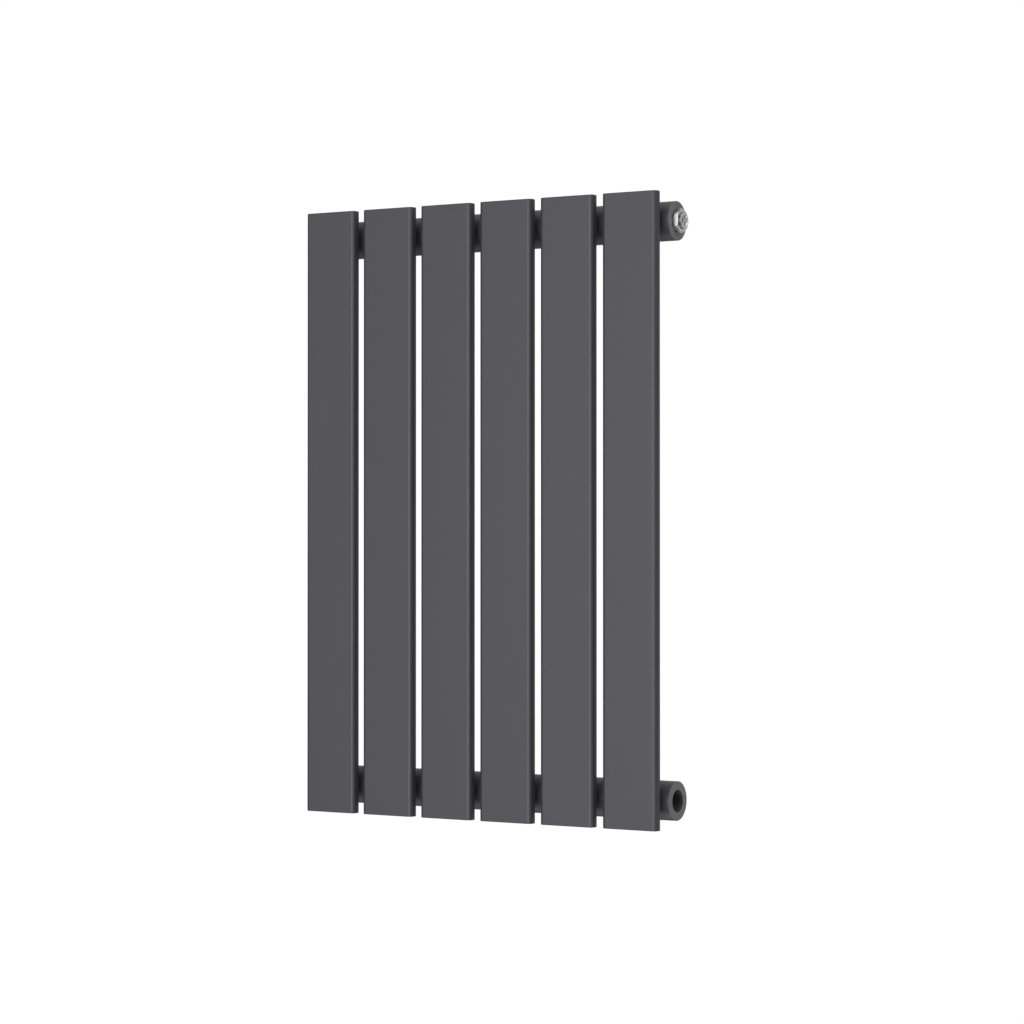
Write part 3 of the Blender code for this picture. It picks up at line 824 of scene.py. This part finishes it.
def painted_shade_bore(name):
    """Bare steel inside the sockets with streaks along the axis, its colour darkened far below bare steel as
    painted shade of the deep bore.
    """
    n = Nodes(name)
    local = n.add("ShaderNodeTexCoord").outputs["Object"]
    along_axis = (1.0, 1.0, 0.12)
    stretched = n.add("ShaderNodeVectorMath", {0: local, 1: along_axis}, operation="MULTIPLY").outputs[0]
    streaks = n.noise(stretched, 620, 3, 0.6)
    grime = n.noise(n.place(), 240, 4, 0.6)
    tone = n.math("MULTIPLY", n.spread(streaks, 0.35, 0.7, 0.0, 1.0), n.spread(grime, 0.3, 0.7, 0.4, 1.0))
    # Painted shade: both tones are much darker than bare steel and stand in for the shade inside the bore.
    colour = n.mix(tone, (0.018, 0.018, 0.019, 1), (0.075, 0.074, 0.073, 1))
    return n.finish(Base_Color=colour, Roughness=n.spread(grime, 0.3, 0.7, 0.5, 0.7), Metallic=0.4,
                    Normal=n.bump(streaks, 0.01 * MM))


def rubber(name):
    """Matt black seal rubber with a dusty bloom."""
    n = Nodes(name)
    where = n.place()
    bloom = n.noise(where, 330, 4, 0.65)
    grain = n.noise(where, 4200, 2)
    colour = n.mix(n.spread(bloom, 0.45, 0.75, 0.0, 1.0), (0.012, 0.012, 0.013, 1), (0.035, 0.035, 0.036, 1))
    return n.finish(Base_Color=colour, Roughness=n.spread(bloom, 0.3, 0.8, 0.6, 0.82),
                    Normal=n.bump(grain, 0.006 * MM))


# ---------------------------------------------------------------- assembly

FINE_MARKS = 0.0008 * MM  # the depth of the marks that turning left
DEEP_MARKS = 0.0016 * MM
slat_paint = powder_coat("slat_powder_coat", (0.050, 0.0482, 0.0585, 1), (0.041, 0.0392, 0.0495, 1))
header_paint = powder_coat("header_powder_coat", (0.064, 0.063, 0.068, 1), (0.052, 0.051, 0.056, 1), 1.3)
weld_paint = powder_coat("weld_powder_coat", (0.062, 0.061, 0.066, 1), (0.048, 0.047, 0.052, 1), 1.8)
face_paint = powder_coat("boss_face_powder_coat", (0.156, 0.156, 0.156, 1),
                         (0.130, 0.130, 0.130, 1), 0.8)
bore_painted_shade = painted_shade_bore("socket_bore_steel_painted_shade")
chrome = turned_metal("chrome_plate", (0.84, 0.84, 0.85, 1), (0.66, 0.66, 0.67, 1),
                      0.20, 0.30, FINE_MARKS)
disc_chrome = turned_metal("brushed_chrome_plate", (0.94, 0.94, 0.95, 1), (0.84, 0.84, 0.85, 1),
                           0.26, 0.36, DEEP_MARKS)
# Painted shade: a dark plate colour for the disc's rim, standing in for the shade and the dark reflection it
# shows.
rim_painted_shade_chrome = turned_metal("rim_plate_painted_shade", (0.34, 0.34, 0.34, 1), (0.16, 0.16, 0.16, 1),
                          0.25, 0.4, DEEP_MARKS)
brass = turned_metal("nickelled_brass", (0.80, 0.78, 0.72, 1), (0.62, 0.59, 0.52, 1),
                     0.18, 0.32, DEEP_MARKS)
seal_rubber = rubber("seal_rubber")


def centre(node):
    low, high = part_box(node)
    return (low + high) / 2


def size(node):
    low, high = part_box(node)
    return high - low


def add_slats(header_y):
    width, depth, _ = size("slat_1_tube")
    join_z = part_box("slat_1_top_cap")[0].z
    slat_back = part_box("slat_1_tube")[1].y
    tube = slat_tube_mesh(width, depth, 2 * join_z)
    cap = slat_cap_mesh(width, depth, size("slat_1_top_cap").z)
    nipple = nipple_mesh(size("top_header_tube").z / 2, header_y - slat_back)
    over = Matrix.Rotation(math.pi, 4, "X")
    for number in range(1, SLAT_COUNT + 1):
        slat = f"slat_{number}"
        middle = centre(f"{slat}_tube")
        add_piece(f"{slat}_tube_shell", tube, slat_paint, "root", [f"{slat}_tube"],
                  Matrix.Translation(middle))
        for end, sign, turn in (("top", 1, Matrix.Identity(4)), ("bottom", -1, over)):
            cap_place = Matrix.Translation((middle.x, middle.y, sign * join_z)) @ turn
            add_piece(f"{slat}_{end}_cap_shell", cap, slat_paint, "root",
                      [f"{slat}_{end}_cap"], cap_place)
            header_z = centre(f"{end}_header_tube").z
            add_piece(f"{slat}_{end}_nipple_weld", nipple, weld_paint, "root",
                      [f"{slat}_{end}_nipple"], Matrix.Translation((middle.x, header_y, header_z)))


def add_headers(header_y):
    length, _, diameter = size("top_header_tube")
    radius = diameter / 2
    tube = header_mesh(radius, length)
    boss_length = size("top_right_boss").x
    bosses = {level: boss_mesh(radius, boss_length, threaded)
              for level, threaded in (("top", False), ("bottom", True))}
    for mesh in bosses.values():
        for material in (header_paint, face_paint, bore_painted_shade):
            mesh.materials.append(material)
    lug = lug_mesh(radius, -header_y)
    lug_weld = lug_weld_mesh(radius, -header_y)
    sockets = {}
    for level in ("top", "bottom"):
        z = centre(f"{level}_header_tube").z
        place = Matrix.Translation((0, header_y, z)) @ Matrix.Rotation(math.pi / 2, 4, "Y")
        add_piece(f"{level}_header_shell", tube, header_paint, "root",
                  [f"{level}_header_tube"], place)
        for side, sign in (("left", -1), ("right", 1)):
            node = f"{level}_{side}_boss"
            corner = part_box(node)[1 if sign > 0 else 0]
            place = (Matrix.Translation((corner.x, header_y, z))
                     @ Matrix.Rotation(sign * math.pi / 2, 4, "Y"))
            add_piece(f"{node}_shell", bosses[level], header_paint, "root", [node], place)
            sockets[level, side] = place
            node = f"{level}_{side}_hanging_lug"
            place = Matrix.Translation((centre(node).x, 0, z))
            add_piece(f"{node}_strap", lug, header_paint, "root", [node], place, LUG_EDGE)
            add_piece(f"{node}_weld", lug_weld, weld_paint, "root", [], place)
    return sockets["top", "left"], sockets["top", "right"]


def add_fittings(left_socket, right_socket):
    fitting_seal = seal_mesh("fitting_seal", *FITTING_SEAL)
    screw_seal = seal_mesh("screw_seal", *SCREW_SEAL)
    add_piece("blanking_plug_turned", blanking_plug_mesh(), chrome, "root", ["blanking_plug"],
              left_socket)
    add_piece("blanking_plug_seal", fitting_seal, seal_rubber, "root", ["blanking_plug_o_ring"],
              left_socket)
    add_piece("vent_body_turned", vent_body_mesh(), chrome, "root", ["vent_body"], right_socket)
    add_piece("vent_body_seal", fitting_seal, seal_rubber, "root", ["vent_body_o_ring"],
              right_socket)
    disc = outlet_disc_mesh()
    disc.materials.append(disc_chrome)
    disc.materials.append(rim_painted_shade_chrome)
    add_piece("vent_outlet_disc_turned", disc, disc_chrome, "outlet_disc",
              ["vent_outlet_disc"], right_socket)
    add_piece("bleed_screw_turned", bleed_screw_mesh(), brass, "bleed_screw", ["bleed_screw"],
              right_socket, KEY_EDGE)
    add_piece("bleed_screw_seal_ring", screw_seal, seal_rubber, "bleed_screw_seal",
              ["bleed_screw_o_ring"], right_socket)


# ---------------------------------------------------------------- studio

def direction(azimuth, elevation):
    """The unit vector towards an azimuth, counted from the front towards +X, and an elevation."""
    return Vector((math.sin(azimuth) * math.cos(elevation), -math.cos(azimuth) * math.cos(elevation),
                   math.sin(elevation)))


def add_camera():
    camera = bpy.data.objects.new("camera", bpy.data.cameras.new("camera"))
    bpy.context.scene.collection.objects.link(camera)
    arm = direction(CAMERA_AZIMUTH, CAMERA_ELEVATION)
    camera.location = CAMERA_TARGET + CAMERA_DISTANCE * arm
    camera.rotation_euler = (-arm).to_track_quat("-Z", "Y").to_euler()
    camera.data.lens = CAMERA_LENS
    camera.data.clip_start = 0.05
    bpy.context.scene.camera = camera


def add_light():
    """A dark studio with large soft lights. The backdrop itself reads as white."""
    world = bpy.data.worlds.new("studio")
    bpy.context.scene.world = world
    world.use_nodes = True
    tree = world.node_tree
    tree.nodes.clear()

    def add(kind, *inputs, **settings):
        node = tree.nodes.new(kind)
        for key, value in settings.items():
            setattr(node, key, value)
        for socket, value in zip(node.inputs, inputs):
            if isinstance(value, bpy.types.NodeSocket):
                tree.links.new(value, socket)
            else:
                socket.default_value = value
        return node

    looking = add("ShaderNodeTexCoord").outputs["Generated"]
    total = 0.0
    for azimuth, elevation, brightness in SOFT_LIGHTS.values():
        towards = direction(math.radians(azimuth), math.radians(elevation))
        facing = add("ShaderNodeVectorMath", looking, towards, operation="DOT_PRODUCT").outputs["Value"]
        falloff = add("ShaderNodeMath", facing, float(SOFTNESS), -float(SOFTNESS),
                      operation="MULTIPLY_ADD").outputs[0]
        glow = add("ShaderNodeMath", falloff, operation="EXPONENT").outputs[0]
        total = add("ShaderNodeMath", glow, brightness, total, operation="MULTIPLY_ADD").outputs[0]
    white = (1, 1, 1, 1)
    room = add("ShaderNodeBackground", white, total).outputs[0]
    backdrop = add("ShaderNodeBackground", white, BACKDROP_LIGHT).outputs[0]
    camera_sees = add("ShaderNodeLightPath").outputs["Is Camera Ray"]
    seen = add("ShaderNodeMixShader", camera_sees, room, backdrop).outputs[0]
    add("ShaderNodeOutputWorld", seen)


def add_floor():
    """A plain white floor, well below the radiator. It doesn't take part in the lighting."""
    bm = bmesh.new()
    bmesh.ops.create_circle(bm, cap_ends=True, segments=96, radius=FLOOR_RADIUS)
    mesh = bpy.data.meshes.new("studio_floor")
    bm.to_mesh(mesh)
    bm.free()
    floor = bpy.data.objects.new("studio_floor", mesh)
    bpy.context.scene.collection.objects.link(floor)
    floor.location.z = FLOOR_Z
    n = Nodes("floor_white")
    mesh.materials.append(n.finish(Base_Color=(0.9, 0.9, 0.9, 1), Roughness=0.9,
                                   Emission_Color=(1, 1, 1, 1), Emission_Strength=0.75))
    floor.visible_diffuse = False
    floor.visible_glossy = False
    floor.visible_shadow = False


bpy.context.scene.view_settings.view_transform = "Standard"
header_axis_y = centre("top_header_tube").y
add_slats(header_axis_y)
add_fittings(*add_headers(header_axis_y))
add_camera()
add_light()
add_floor()
